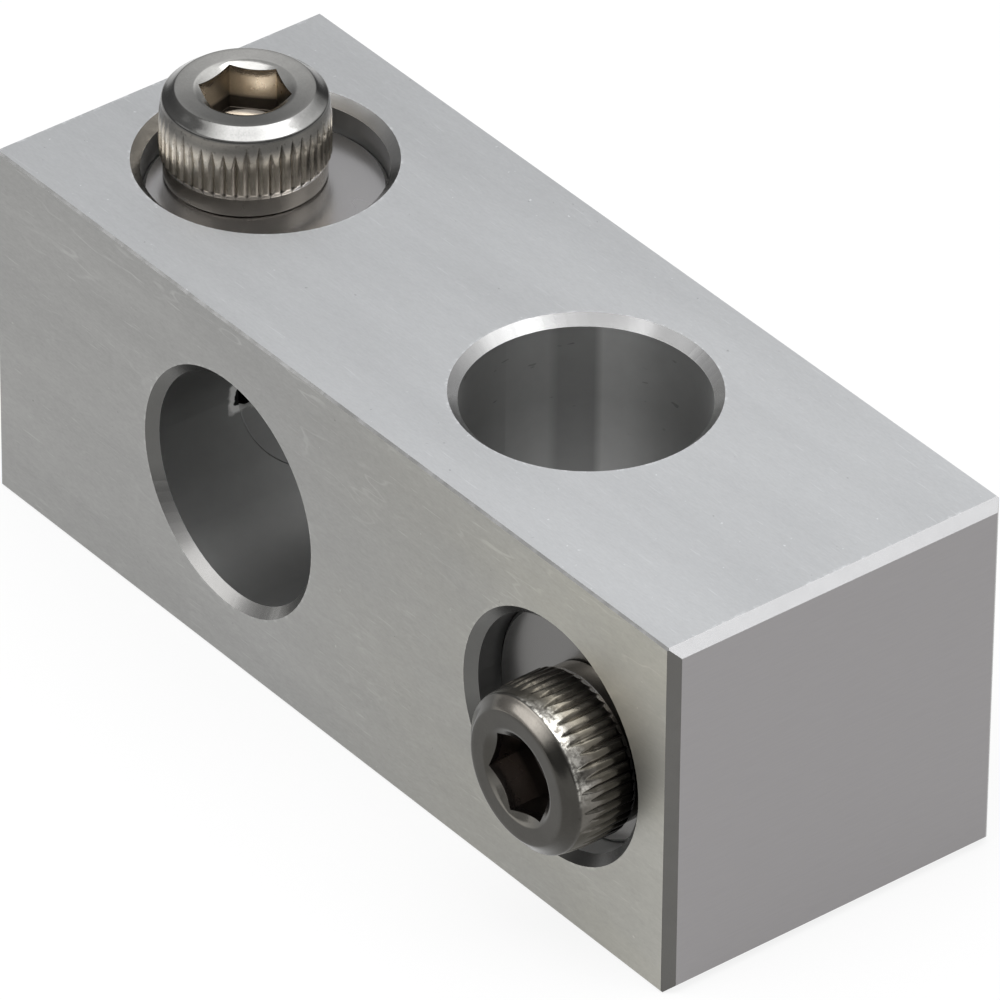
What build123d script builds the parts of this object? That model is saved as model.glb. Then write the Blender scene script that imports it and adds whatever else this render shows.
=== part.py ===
from build123d import *
import math
import os

# Sensor bracket: a cross clamp for two round rods at right angles to each other.
# A square bar has two rod bores. Beside each bore a clamp hole crosses it and breaks into its
# wall. In each clamp hole sit two round jaws, and one screw draws them together on the rod.
# Lengths are in millimetres and angles in degrees. X runs along the bar, Y to the back, Z up.
# The origin is the centre of the bar's bottom face.

# Bar
bar_width = 20.0
bar_height = 20.0
end_margin = 9.0
end_chamfer = 0.5
edge_break = 0.12

# Rod bores
rod_diameter = 12.0
rod_clearance = 0.1
rod_spacing = 15.0
mouth_chamfer = 0.5

# Clamp holes
clamp_hole_diameter = 12.2
clamp_spacing = 10.0

# Jaws
jaw_clearance = 0.05
jaw_recess = 1.7
jaw_gap = 1.2
jaw_edge_break = 0.2
screw_offset = 1.6
clearance_hole_diameter = 5.5
hole_edge_break = 0.3

# Screw thread, drawn plain at its pitch diameter
thread_diameter = 5.0
thread_pitch = 0.8
pitch_line_share = 0.6495
thread_clearance = 0.05
screw_end_recess = 0.6
tip_chamfer = 0.4

# Screw head
head_height = 5.0
head_rim_diameter = 8.1
head_rim_height = 1.1
head_rim_break = 0.15
head_ease_diameter = 8.3
head_ease_height = 0.25
head_chamfer_diameter = 8.0
head_chamfer_height = 0.46
head_flat_diameter = 6.9

# Straight knurl round the head, of V grooves that run out towards the top
knurl_diameter = 8.5
knurl_count = 45
knurl_taper = 0.2
groove_width = 0.48
groove_depth = 0.19
groove_top = 4.05
groove_run_out = 0.5
run_out_share = 0.98

# Hexagon socket in the head
socket_flats = 4.0
socket_depth = 2.6
socket_mouth_diameter = 5.0
socket_mouth_slope = 30.0
socket_floor_diameter = 3.4
socket_floor_depth = 0.6
top_screw_turn = 42.0
front_screw_turn = 15.0

# Sizes that follow from the ones above
bar_length = 2 * (end_margin + clamp_spacing) + rod_spacing
bore_radius = rod_diameter / 2 + rod_clearance
clamp_hole_radius = clamp_hole_diameter / 2
jaw_radius = clamp_hole_radius - jaw_clearance
thread_radius = (thread_diameter - pitch_line_share * thread_pitch) / 2
tapped_radius = thread_radius + thread_clearance
rod_x = rod_spacing / 2
clamp_x = rod_x + clamp_spacing
middle_z = bar_height / 2

# A plane across each rod, through the middle of the bar
left_rod = Plane(origin=(-rod_x, 0, middle_z), x_dir=(1, 0, 0), z_dir=(0, -1, 0))
right_rod = Plane(origin=(rod_x, 0, middle_z), x_dir=(1, 0, 0), z_dir=(0, 0, 1))

# A plane across each clamp hole, through the middle of the bar. Its normal points to the
# screw's head, and its x direction points away from the rod.
top_clamp = Plane(origin=(-clamp_x, 0, middle_z), x_dir=(-1, 0, 0), z_dir=(0, 0, 1))
front_clamp = Plane(origin=(clamp_x, 0, middle_z), x_dir=(1, 0, 0), z_dir=(0, -1, 0))


def screw_seat(clamp, thickness):
    """The plane on a jaw's outer face that the screw's head stands on, centred on the screw."""
    origin = clamp.from_local_coords((screw_offset, 0, thickness / 2 - jaw_recess))
    return Plane(origin=origin, x_dir=clamp.x_dir, z_dir=clamp.z_dir)


def make_jaw(clamp, rod, thickness, side, hole_radius):
    """A round jaw with a seat for the rod. Its side is 1 under the screw's head, -1 opposite."""
    length = thickness / 2 - jaw_recess - jaw_gap / 2
    outwards = Axis(clamp.origin, clamp.z_dir * side)
    with BuildPart() as jaw:
        with BuildSketch(clamp.offset(side * jaw_gap / 2)):
            Circle(jaw_radius)
        extrude(amount=side * length)
        chamfer(jaw.edges().filter_by(GeomType.CIRCLE), length=jaw_edge_break)
        with BuildSketch(screw_seat(clamp, thickness)):
            Circle(hole_radius)
        extrude(amount=-thickness, mode=Mode.SUBTRACT)
        circles = jaw.edges().filter_by(GeomType.CIRCLE)
        rims = circles.filter_by(lambda circle: circle.radius == hole_radius)
        chamfer(rims.sort_by(outwards)[-1], length=hole_edge_break)
        with BuildSketch(rod):
            Circle(bore_radius)
        extrude(amount=clamp_hole_radius, both=True, mode=Mode.SUBTRACT)
    return jaw


def make_groove():
    """The cutter of one knurl groove, on the crest circle with X pointing outwards."""
    half_width = groove_width / 2
    inner_radius = half_width * groove_depth / math.hypot(half_width, groove_depth)
    run_out_angle = math.degrees(math.atan(inner_radius / groove_run_out))
    diamond = [(groove_depth, 0), (0, half_width), (-groove_depth, 0), (0, -half_width)]
    with BuildPart() as groove:
        with BuildSketch(Plane.XY.offset(head_rim_height)):
            Polygon(*diamond, align=None)
        extrude(amount=groove_top - groove_run_out - head_rim_height)
        with BuildSketch(Plane.XY.offset(groove_top - groove_run_out)):
            Polygon(*diamond, align=None)
        extrude(amount=groove_run_out * run_out_share, taper=run_out_angle)
    return groove


def make_screw(clamp, thickness, turn, groove):
    """A socket head cap screw. Its head stands on a jaw, its shank points through both jaws."""
    seat = screw_seat(clamp, thickness)
    length = thickness - 2 * jaw_recess - screw_end_recess
    knurl_radius = knurl_diameter / 2
    rim_radius = head_rim_diameter / 2
    chamfer_base = head_height - head_chamfer_height
    mouth_radius = socket_mouth_diameter / 2
    mouth_depth = mouth_radius * math.tan(math.radians(socket_mouth_slope))
    from_top = (Align.CENTER, Align.CENTER, Align.MAX)
    outline = Plane(origin=seat.origin, x_dir=seat.x_dir, z_dir=-seat.y_dir)
    socket = seat.offset(head_height)
    with BuildPart() as screw:
        with BuildSketch(outline):
            with BuildLine():
                Polyline(
                    (0, head_height - mouth_depth),
                    (0, -length),
                    (thread_radius - tip_chamfer, -length),
                    (thread_radius, tip_chamfer - length),
                    (thread_radius, 0),
                    (rim_radius - head_rim_break, 0),
                    (rim_radius, head_rim_break),
                    (rim_radius, head_rim_height),
                    (knurl_radius, head_rim_height + knurl_taper),
                    (knurl_radius, groove_top),
                    (head_ease_diameter / 2, chamfer_base - head_ease_height),
                    (head_chamfer_diameter / 2, chamfer_base),
                    (head_flat_diameter / 2, head_height),
                    (mouth_radius, head_height),
                    (0, head_height - mouth_depth),
                )
            make_face()
        revolve(axis=Axis(seat.origin, seat.z_dir))
        with Locations(seat):
            with PolarLocations(knurl_radius, knurl_count):
                add(groove.part, mode=Mode.SUBTRACT)
        with BuildSketch(socket):
            RegularPolygon(socket_flats / 2, 6, major_radius=False, rotation=turn)
        extrude(amount=-socket_depth, mode=Mode.SUBTRACT)
        with Locations(socket.offset(-socket_depth)):
            Cone(0, socket_floor_diameter / 2, socket_floor_depth, align=from_top, mode=Mode.SUBTRACT)
    return screw


# The bar, with its four cross holes
with BuildPart() as clamp_block:
    with BuildSketch(Plane.YZ.offset(-bar_length / 2)):
        with Locations((0, middle_z)):
            Rectangle(bar_width, bar_height)
    extrude(amount=bar_length)
    chamfer(clamp_block.faces().filter_by(Axis.X).edges(), length=end_chamfer)
    chamfer(clamp_block.edges().filter_by(Axis.X), length=edge_break)
    with Locations(left_rod, right_rod):
        Hole(bore_radius)
    with Locations(top_clamp, front_clamp):
        Hole(clamp_hole_radius)
    chamfer(clamp_block.edges().filter_by(GeomType.CIRCLE), length=mouth_chamfer)

# The two clamp sets. The top clamp grips the left rod, the front clamp grips the right rod.
groove = make_groove()
clearance_radius = clearance_hole_diameter / 2
pieces = {
    "clamp_block": clamp_block,
    "top_head_jaw": make_jaw(top_clamp, left_rod, bar_height, 1, clearance_radius),
    "bottom_threaded_jaw": make_jaw(top_clamp, left_rod, bar_height, -1, tapped_radius),
    "top_clamp_screw": make_screw(top_clamp, bar_height, top_screw_turn, groove),
    "front_head_jaw": make_jaw(front_clamp, right_rod, bar_width, 1, clearance_radius),
    "back_threaded_jaw": make_jaw(front_clamp, right_rod, bar_width, -1, tapped_radius),
    "front_clamp_screw": make_screw(front_clamp, bar_width, front_screw_turn, groove),
}

os.makedirs("parts", exist_ok=True)
for name, piece in pieces.items():
    piece.part.label = name
    export_step(piece.part, f"parts/{name}.step")
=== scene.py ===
import math
from contextlib import contextmanager

import bmesh
import bpy
import numpy as np
from mathutils import Matrix, Vector


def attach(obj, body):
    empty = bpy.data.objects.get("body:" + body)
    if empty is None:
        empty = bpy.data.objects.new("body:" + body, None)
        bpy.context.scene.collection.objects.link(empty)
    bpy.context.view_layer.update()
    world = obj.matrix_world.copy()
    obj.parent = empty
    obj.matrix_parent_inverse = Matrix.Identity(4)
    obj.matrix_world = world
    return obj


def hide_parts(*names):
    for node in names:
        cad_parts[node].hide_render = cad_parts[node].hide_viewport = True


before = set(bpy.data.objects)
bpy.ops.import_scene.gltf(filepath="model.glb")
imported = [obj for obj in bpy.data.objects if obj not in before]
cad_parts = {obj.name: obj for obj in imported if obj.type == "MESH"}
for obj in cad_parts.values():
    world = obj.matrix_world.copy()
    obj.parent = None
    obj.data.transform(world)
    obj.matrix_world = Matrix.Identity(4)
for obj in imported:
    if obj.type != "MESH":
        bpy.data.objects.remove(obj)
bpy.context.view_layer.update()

MM = 0.001
TAU = 2 * math.pi
rng = np.random.default_rng(12)

# Sizes of the bracket that the finish follows, in millimetres
BAR_HALF_LENGTH = 26.5
BAR_HALF = 10.0
END_CHAMFER = 0.5
ROD_X = 7.5
CLAMP_X = 17.5
BORE_RADIUS = 6.1
MOUTH_CHAMFER = 0.5
HOLE_RIM = BORE_RADIUS + MOUTH_CHAMFER
SCREW_X = 19.1
SEAT_HEIGHT = 8.3
JAW_HALF_GAP = 0.6

# How a point is told to lie on a flat face, or on a rim cut at 45 degrees
STRAIGHT = 0.95
SKIN = 0.1
SLANT = math.sqrt(0.5)
SLANT_REACH = 0.04
SLACK = 0.01

# The far side of the right bore, as the camera sees it, in degrees round the bore
FAR_SIDE = 141.5

# The burr in the left bore, and a patch of painted shade at the opening beside it, in millimetres
BURR_CENTRE = (-13.4, -4.4, 10.0)
BURR_HALF_SIZE = (0.6, 0.5, 0.5)

# Colours of the bar and the jaws. The level faces are painted lighter than the sides and ends, the hole
# rims and end rims carry painted light and shade, the front jaws are a copy in painted shade, and a near
# black patch is painted shade in the jaws' gap
SHADED_SIDE_GREY = (0.330, 0.329, 0.322)
SHADED_SIDE_BEIGE = (0.340, 0.333, 0.298)
LIT_LEVEL_GREY = (0.550, 0.560, 0.572)
SHADED_END_GREY = (0.305, 0.295, 0.298)
BORE_GREY = (0.375, 0.376, 0.373)
LEVEL_MOUTH_LIT = (0.47, 0.47, 0.47)
LEVEL_MOUTH_SHADED = (0.18, 0.178, 0.17)
SIDE_MOUTH_LIT = (0.36, 0.356, 0.348)
SIDE_MOUTH_SHADED = (0.118, 0.117, 0.112)
SCREW_MOUTH_LIT = (0.05, 0.049, 0.047)
SCREW_MOUTH_SHADED = (0.06, 0.059, 0.056)
LIT_END_RIM_TOP = (0.377, 0.377, 0.383)
SHADED_END_RIM_SIDE = (0.127, 0.124, 0.118)
LONG_EDGE = (0.30, 0.30, 0.295)
LONG_EDGE_CHIPPED = (0.42, 0.42, 0.42)
BAR_BURR = (0.80, 0.80, 0.78)
JAW_BURR = (0.62, 0.62, 0.60)
PAINTED_GAP_SHADE = (0.02, 0.02, 0.02)
TOP_JAW_GREY = (0.36, 0.355, 0.36)
SHADED_FRONT_JAW_GREY = (0.15, 0.147, 0.143)

# Light that each mark on the long faces adds
SCRATCH_ON_SIDE = 0.20
SCRATCH_ON_LEVEL = 0.12
WAVY_LINE = 0.19
SPECK = 0.30
PIT = -0.30
WORN_EDGE = 0.32

# Roughness of the metals, and the depth of their grain
CUT_ROUGHNESS = 0.42
END_ROUGHNESS = 0.40
RIM_ROUGHNESS = 0.26
BRUSHED_DEPTH = 0.004 * MM
FINE_DEPTH = 0.002 * MM
TURNED_CELLS = 9000.0  # to the metre

# Lengths under which points of a mesh are merged, in metres
SAME_POINT = 1e-8
SAME_JAW_POINT = 1e-7

# Edges that turn by less than this many degrees are shaded smooth
SCREW_SMOOTH = 38
JAW_SMOOTH = 14

# Shank and thread of a screw, in millimetres. Heights count from the seat under the head.
SCREW_LENGTH = 16.0
PITCH = 0.8
CREST_RADIUS = 2.48
ROOT_RADIUS = 2.01
CREST_FLAT = 1 / 8
ROOT_FLAT = 1 / 4
NECK_RADIUS = 2.24
NECK_HEIGHT = -0.8
TIP_RADIUS = 1.84
THREAD_RUN_OUT = 0.7
ROWS_PER_PITCH = 12

# The tapped thread, and the plug that closes the jaw's plain hole before it is cut
THREAD_CLEARANCE = 0.05
ROOT_CLEARANCE = 0.09
TAP_BEYOND_OUTSIDE = 0.7
TAP_BEYOND_INSIDE = 0.4
PLUG_RADIUS = 2.42
PLUG_SIDES = 72
PLUG_SUNK_OUTSIDE = 0.3
PLUG_SUNK_INSIDE = 0.04

# Socket of a screw, in millimetres
HEAD_HEIGHT = 5.0
TOP_TURN = 42.0  # degrees
FRONT_TURN = 15.0  # degrees
SOCKET_HALF_FLATS = 2.0
SOCKET_FLOOR = HEAD_HEIGHT - 2.6
SOCKET_ROUNDING = 0.03
DRILL_RADIUS = 1.96
DRILL_DEPTH = 0.6

# The countersink of the socket, and the ring round it, which slopes a little
MOUTH_RADIUS = 2.5
MOUTH_SLOPE = math.tan(math.radians(30))
RING_SLOPE = 0.03
RING_RADIUS = 3.38
MOUTH_HEIGHT = HEAD_HEIGHT - RING_SLOPE * (RING_RADIUS - MOUTH_RADIUS)

# The bevel round the head: its inner radius, and how far it goes out and down
BEVEL_RADIUS = 3.45
BEVEL_OUT = 0.55
BEVEL_DOWN = 0.46
BEVEL_FOOT = (4.53, 4.03)  # height, radius

# Knurl of V grooves, between a plain band above it and a plain collar below it
BAND_UPPER = (4.485, 4.08)  # height, radius
BAND_LOWER = (4.40, 4.11)  # height, radius
PLAIN_FROM = 3.3  # height at which the knurl begins to look like the plain band
PLAIN_OVER = 0.6
FADE_FROM = 3.2  # height below which the knurl gets darker
FADE_OVER = 1.7
KNURL_COUNT = 45
KNURL_RADIUS = 4.25
KNURL_TOP = 4.30
KNURL_BOTTOM = 1.46
KNURL_ROWS = 56
BARREL_FROM = 2.9
BARREL_HEIGHT = 1.4
BARREL_EASE = 0.12
GROOVE_DEPTH = 0.15
GROOVE_HALF_WIDTH = 0.18
GROOVE_RUN_OUT = 0.9
GROOVE_END_HEIGHT = 1.40
GROOVE_END_ROWS = 8
COLLAR_RADIUS = 4.05
COLLAR_HEIGHT = 1.1
COLLAR_FLARE = 0.2 / 0.32  # outwards, over the way up
UNDERSIDE_RADIUS = 2.6

# Points round the head and the shank
HEAD_DIVISIONS = 540
SHANK_DIVISIONS = 90
FAN = HEAD_DIVISIONS // SHANK_DIVISIONS
# Looks that each point of a screw carries. The groove and socket looks carry painted shade, the bevel, tip
# and shine looks painted highlights, and light the painted light added to each colour
LOOKS = ("groove", "socket", "band", "knurl", "tip", "shine", "bevel", "light")

# Colours of the screws. Each zone gets a grey of its own that paints in how lit it is, and the front screw
# is a darker copy of the top one: painted shade. The socket floor is painted shade, the crests and groove
# ends carry painted highlights
PAINTED_CREST_SHINE = (0.82, 0.80, 0.74)
PAINTED_TIP_HIGHLIGHT = (0.85, 0.80, 0.74)
TOP_STEEL = {
    "plain": (0.25, 0.248, 0.24),
    "bevel": (0.20, 0.199, 0.195),
    "knurl": (0.70, 0.64, 0.55),
    "socket_wall": (0.64, 0.56, 0.45),
    "socket_floor": (0.07, 0.06, 0.05),
}
SHADED_FRONT_STEEL = {
    "plain": (0.064, 0.061, 0.055),
    "bevel": (0.36, 0.335, 0.30),
    "knurl": (0.28, 0.26, 0.23),
    "socket_wall": (0.18, 0.157, 0.145),
    "socket_floor": (0.06, 0.052, 0.048),
}

# Painted light and shade on each head. Angles are in degrees round the screw's axis, and view_at is the
# side that the camera sees. Amounts of painted light are added to 1, which leaves a colour as it is.
TOP_LOOK = {
    "view_at": 141,
    # Socket walls: angle, half width, slope and amount of each patch of light
    "walls": (
        (304, 34, 1.0, 0.15),
        (252, 30, 8.0, -0.80),
        (335, 14, 1.5, -0.25),
        (352, 20, 1.5, -0.10),
    ),
    # Countersink of the socket: angle and amount
    "lip": (25, 1.4),
    # Ring round it: amount, and what the seen side has less than the other
    "ring": 0.13,
    "ring_slope": 0.6,
    # Bevel: angle, half width and slope of its painted highlight, and amounts of painted light and shade on
    # the rest of it
    "bevel": (169, 56, 3.0),
    "bevel_side": -0.70,
    "bevel_right": 1.0,
    "bevel_end": -0.8,
    # Plain band under the bevel: amount of painted light, and its part in the painted shine on the crests
    "band": -0.47,
    "band_shine": 0.0,
    # Painted shine on the crests: angle, half width and share of each bright patch, then amount and heights
    "shines": ((104, 38, 1.0),),
    "shine": 0.62,
    "shine_from": 2.2,
    "shine_height": 1.2,
    # Knurl: amount all round, angle and amount of its bright part, and what it loses downwards
    "knurl": (0.0, 141, 0.0),
    "knurl_fade": 0.0,
    # Angle round which the lower ends of the grooves carry a painted highlight
    "tips": 196,
    # Collar: amount all round, angle and amount of its bright part
    "collar": (-0.5, 215, 0.7),
}
FRONT_LOOK = {
    "view_at": 42,
    "walls": ((262, 60, 2.0, -0.35),),
    "lip": (262, 2.2),
    "ring": 0.0,
    "ring_slope": 0.0,
    "bevel": (88, 38, 1.5),
    "bevel_side": -0.1,
    "bevel_right": 0.0,
    "bevel_end": -0.1,
    "band": 0.0,
    "band_shine": 1.0,
    "shines": ((68, 34, 1.0), (28, 24, 0.85)),
    "shine": 0.62,
    "shine_from": 3.5,
    "shine_height": 1.0,
    "knurl": (-0.5, 100, 1.5),
    "knurl_fade": 0.5,
    "tips": 92,
    "collar": (0.0, 92, 3.3),
}

FLOOR_HALF = 3000.0

# Camera, fitted to the photograph's edges and hole rims. Its lengths are in millimetres.
LENS = 458.06
SENSOR = 36.0
CAMERA_PLACE = Vector((391.087, -311.604, 365.588)) * MM
CAMERA_RIGHT = Vector((0.6197820, 0.7847350, 0.0078208))
CAMERA_DOWN = Vector((0.4592292, -0.3545810, -0.8144820))


class Tree:
    """A few short ways to write a node tree."""

    def __init__(self, tree):
        self.tree = tree
        tree.nodes.clear()

    def fill(self, socket, value):
        """Links another socket to this one, or sets this one to a value."""
        if isinstance(value, bpy.types.NodeSocket):
            self.tree.links.new(value, socket)
        else:
            socket.default_value = value

    def add(self, kind, inputs=None, **settings):
        made = self.tree.nodes.new(kind)
        for name, value in settings.items():
            setattr(made, name, value)
        for name, value in (inputs or {}).items():
            self.fill(made.inputs[name], value)
        return made

    def math(self, operation, *values, clamp=False):
        inputs = dict(enumerate(values))
        return self.add("ShaderNodeMath", inputs, operation=operation, use_clamp=clamp).outputs[0]

    def chain(self, operation, first, *others):
        for value in others:
            first = self.math(operation, first, value)
        return first

    def product(self, *values):
        return self.chain("MULTIPLY", *values)

    def total(self, *values):
        return self.chain("ADD", *values)

    def highest(self, *values):
        return self.chain("MAXIMUM", *values)

    def minus(self, value, other, clamp=False):
        return self.math("SUBTRACT", value, other, clamp=clamp)

    def above(self, value, limit):
        return self.math("GREATER_THAN", value, limit)

    def below(self, value, limit):
        return self.math("LESS_THAN", value, limit)

    def absolute(self, value):
        return self.math("ABSOLUTE", value)

    def off(self, value, centre):
        """How far the value is from the centre."""
        return self.absolute(self.minus(value, centre))

    def distance(self, first, second):
        """The distance in a straight line, from those along two axes."""
        return self.math("SQRT", self.total(self.product(first, first), self.product(second, second)))

    def span(self, value, low, high, to_low=0.0, to_high=1.0, **settings):
        """Maps value from low..high to to_low..to_high, and holds it there."""
        inputs = {0: value, 1: low, 2: high, 3: to_low, 4: to_high}
        return self.add("ShaderNodeMapRange", inputs, **settings).outputs[0]

    def vary(self, noise, low, high):
        """Maps the range that a noise mostly keeps to, to low..high."""
        return self.span(noise, 0.3, 0.7, low, high)

    def blend(self, factor, a, b):
        """A number between a and b."""
        return self.add("ShaderNodeMix", {0: factor, 2: a, 3: b}, data_type="FLOAT").outputs[0]

    def only(self, mask, light):
        """The light where the mask is 1, and no change elsewhere."""
        return self.blend(mask, 1.0, light)

    def mix(self, factor, a, b):
        """A colour between a and b."""
        made = self.add("ShaderNodeMix", {0: factor}, data_type="RGBA")
        for index, colour in ((6, a), (7, b)):
            if not isinstance(colour, bpy.types.NodeSocket):
                colour = (*colour, 1.0)
            self.fill(made.inputs[index], colour)
        return made.outputs[2]

    def scaled(self, colour, tone):
        """The colour made lighter or darker by the tone."""
        return self.vector("SCALE", {0: colour, "Scale": tone})[0]

    def vector(self, operation, inputs):
        return self.add("ShaderNodeVectorMath", inputs, operation=operation).outputs

    def split(self, vector):
        return self.add("ShaderNodeSeparateXYZ", {0: vector}).outputs

    def place(self):
        return self.add("ShaderNodeTexCoord").outputs["Object"]

    def in_mm(self, place):
        return [self.product(part, 1 / MM) for part in self.split(place)]

    def normal(self):
        return self.add("ShaderNodeNewGeometry").outputs["True Normal"]

    def look(self, name):
        """One of the looks that a screw's points carry."""
        return self.add("ShaderNodeAttribute", attribute_name=name).outputs["Fac"]

    def noise(self, vector, scale, detail=2.0, roughness=0.5):
        inputs = {"Vector": vector, "Scale": scale, "Detail": detail, "Roughness": roughness}
        return self.add("ShaderNodeTexNoise", inputs).outputs[0]

    def shifted(self, vector, by):
        """The vector moved by the same length along each axis, for a noise of its own."""
        return self.add("ShaderNodeMapping", {"Vector": vector, "Location": (by, by, by)}).outputs[0]

    def streaks(self, place, cells, shift=(0, 0, 0), turn=(0, 0, 0), detail=2.0, roughness=0.6):
        """Noise with so many cells to the metre along each axis."""
        inputs = {"Vector": place, "Scale": cells, "Location": shift, "Rotation": turn}
        stretched = self.add("ShaderNodeMapping", inputs).outputs[0]
        return self.noise(stretched, 1.0, detail, roughness)


def new_material(name):
    material = bpy.data.materials.new(name)
    material.use_nodes = True
    return material, Tree(material.node_tree)


def shade(t, colour, roughness, height, bump, metallic=1.0, strength=1.0):
    """The metal shader at the end of every metal material."""
    bumped = t.add("ShaderNodeBump", {"Height": height, "Strength": strength, "Distance": bump})
    inputs = {
        "Base Color": colour,
        "Roughness": roughness,
        "Normal": bumped.outputs[0],
        "Metallic": metallic,
    }
    metal = t.add("ShaderNodeBsdfPrincipled", inputs)
    t.add("ShaderNodeOutputMaterial", {"Surface": metal.outputs[0]})


def burr_masks(t, place):
    """Where the clamp hole breaks into the left bore at the jaws' gap: a ragged patch of painted shade over
    the opening and its edge, and the burr.
    """
    beyond_x, beyond_y, beyond_z = (
        t.minus(t.off(part, centre), half)
        for part, centre, half in zip(t.in_mm(place), BURR_CENTRE, BURR_HALF_SIZE)
    )
    ragged = t.math("MULTIPLY_ADD", t.noise(place, 2200.0, 2.0, 0.6), 0.5, -0.25)
    beyond = t.total(t.math("SMOOTH_MAX", beyond_y, beyond_z, 0.4), ragged)
    near = t.below(beyond_x, 0.0)
    hole = t.product(near, t.span(beyond, 0.03, -0.03))
    burr = t.product(near, t.span(beyond, 0.42, 0.24), t.span(beyond, 0.0, 0.04))
    return hole, burr


def left_bore_light(t, y):
    """Painted light: the left bore gets lighter from its mouth towards the back."""
    return t.span(y, -9.0, 2.0, 0.80, 1.22)


class BarSurface:
    """Where a point of the bar lies, in millimetres, with masks that are 1 on one kind of surface."""

    def __init__(self, t):
        self.place = t.place()
        self.normal = t.normal()
        self.x, self.y, self.z = t.in_mm(self.place)
        self.tilt_x, self.tilt_y, self.tilt_z = t.split(self.normal)
        self.steep_x, self.steep_y, self.steep_z = (t.absolute(tilt) for tilt in t.split(self.normal))
        self.out_x = t.absolute(self.x)
        self.out_y = t.absolute(self.y)
        self.out_z = t.off(self.z, BAR_HALF)
        self.on_left = t.below(self.x, 0.0)
        self.on_right = t.above(self.x, 0.0)
        self.find_faces(t)
        self.find_mouths(t)
        self.find_edges(t)

    def find_faces(self, t):
        """The long faces, upright (side) or level, and the two ends."""
        self.side = t.product(t.above(self.steep_y, STRAIGHT), t.above(self.out_y, BAR_HALF - SKIN))
        self.level = t.product(t.above(self.steep_z, STRAIGHT), t.above(self.out_z, BAR_HALF - SKIN))
        self.face = t.highest(self.side, self.level)
        at_end = t.above(self.out_x, BAR_HALF_LENGTH - SKIN)
        self.end = t.product(t.above(self.steep_x, STRAIGHT), at_end)

    def find_mouths(self, t):
        """The rims at 45 degrees round the holes, in the level faces and in the sides."""
        rim_height = BAR_HALF - MOUTH_CHAMFER - SLACK
        slants_z = t.below(t.off(self.steep_z, SLANT), SLANT_REACH)
        slants_y = t.below(t.off(self.steep_y, SLANT), SLANT_REACH)
        self.level_mouth = t.product(slants_z, t.above(self.out_z, rim_height))
        self.side_mouth = t.product(slants_y, t.above(self.out_y, rim_height))
        self.mouth = t.highest(self.level_mouth, self.side_mouth)

    def find_edges(self, t):
        """The rims round the ends, the narrow breaks of the long edges, and what is left: the walls."""
        at_end = t.above(self.out_x, BAR_HALF_LENGTH - END_CHAMFER + SLACK)
        self.end_rim = t.minus(t.product(at_end, t.above(self.steep_x, 0.3)), self.end, clamp=True)
        corner = t.above(t.math("MINIMUM", self.out_y, self.out_z), BAR_HALF - 2 * SKIN)
        aslant = t.above(t.product(self.steep_y, self.steep_z), 0.3)
        self.long_edge = t.product(t.below(self.steep_x, 0.2), corner, aslant)
        self.wall = t.minus(1.0, t.highest(self.face, self.mouth, self.end, self.end_rim))


def lengthwise_light(t, bar):
    """The level faces get lighter all along to the right, the sides only near the end."""
    on_side = t.span(bar.x, 12.0, 26.0, 1.0, 1.22)
    on_level = t.span(bar.x, -26.0, 20.0, 0.92, 1.08)
    return t.blend(t.above(bar.steep_z, 0.5), on_side, on_level)


def wavy_lines(t, bar):
    """Wavy hairlines in patches on the sides, most of them near the upper edge."""
    contour = t.streaks(bar.place, (130, 620, 620), (7, 2, 8))
    line = t.span(t.off(contour, 0.5), 0.017, 0.004)
    patches = t.span(t.streaks(bar.place, (180, 400, 400), (2, 7, 3)), 0.46, 0.60)
    high_up = t.span(bar.z, 15.0, 18.5, 0.35, 1.0)
    return t.product(line, patches, bar.side, high_up)


def worn_edges(t, bar):
    """Worn edges of the long faces, round the holes and along the ends."""
    face_end = BAR_HALF_LENGTH - END_CHAMFER
    worn = t.product(bar.level, t.span(bar.out_x, face_end - 0.22, face_end - 0.02))
    for mask, centre, across in (
        (bar.level, ROD_X, bar.out_y),
        (bar.level, -CLAMP_X, bar.out_y),
        (bar.side, -ROD_X, bar.out_z),
        (bar.side, CLAMP_X, bar.out_z),
    ):
        reach = t.distance(t.minus(bar.x, centre), across)
        worn = t.highest(worn, t.product(mask, t.span(reach, HOLE_RIM + 0.18, HOLE_RIM + 0.02)))
    return t.product(worn, t.span(t.noise(bar.place, 2300.0, 3.0, 0.7), 0.50, 0.64))


def face_marks(t, bar):
    """Scratches, hairlines, specks, pits and worn edges of the long faces, as light to be added."""
    scratch = t.streaks(bar.place, (500, 9000, 9000), turn=(0.05, 0.09, 0.07), detail=1.0, roughness=0.5)
    speck = t.noise(bar.place, 3200.0, 1.0, 0.5)
    pit = t.noise(t.shifted(bar.place, 5.0), 2600.0, 1.0, 0.5)
    return t.total(
        t.product(t.span(scratch, 0.70, 0.78), t.blend(bar.steep_z, SCRATCH_ON_SIDE, SCRATCH_ON_LEVEL)),
        t.product(wavy_lines(t, bar), WAVY_LINE),
        t.product(t.span(speck, 0.76, 0.80), SPECK),
        t.product(t.span(pit, 0.77, 0.82), PIT),
        t.product(worn_edges(t, bar), WORN_EDGE),
    )


def face_tone(t, bar, grain, cloud):
    """How light the long faces are. The sides are a little darker high up on the left."""
    broad = t.streaks(bar.place, (60, 420, 420), (1, 5, 2), roughness=0.5)
    aloft = t.product(t.span(bar.z, 9.0, 18.0), t.span(bar.x, 12.0, 0.0), bar.side)
    tone = t.product(
        t.vary(grain, 0.935, 1.055),
        t.vary(broad, 0.965, 1.03),
        t.vary(cloud, 0.975, 1.02),
        lengthwise_light(t, bar),
        t.math("MULTIPLY_ADD", aloft, -0.05, 1.0),
    )
    return t.total(tone, face_marks(t, bar))


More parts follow.
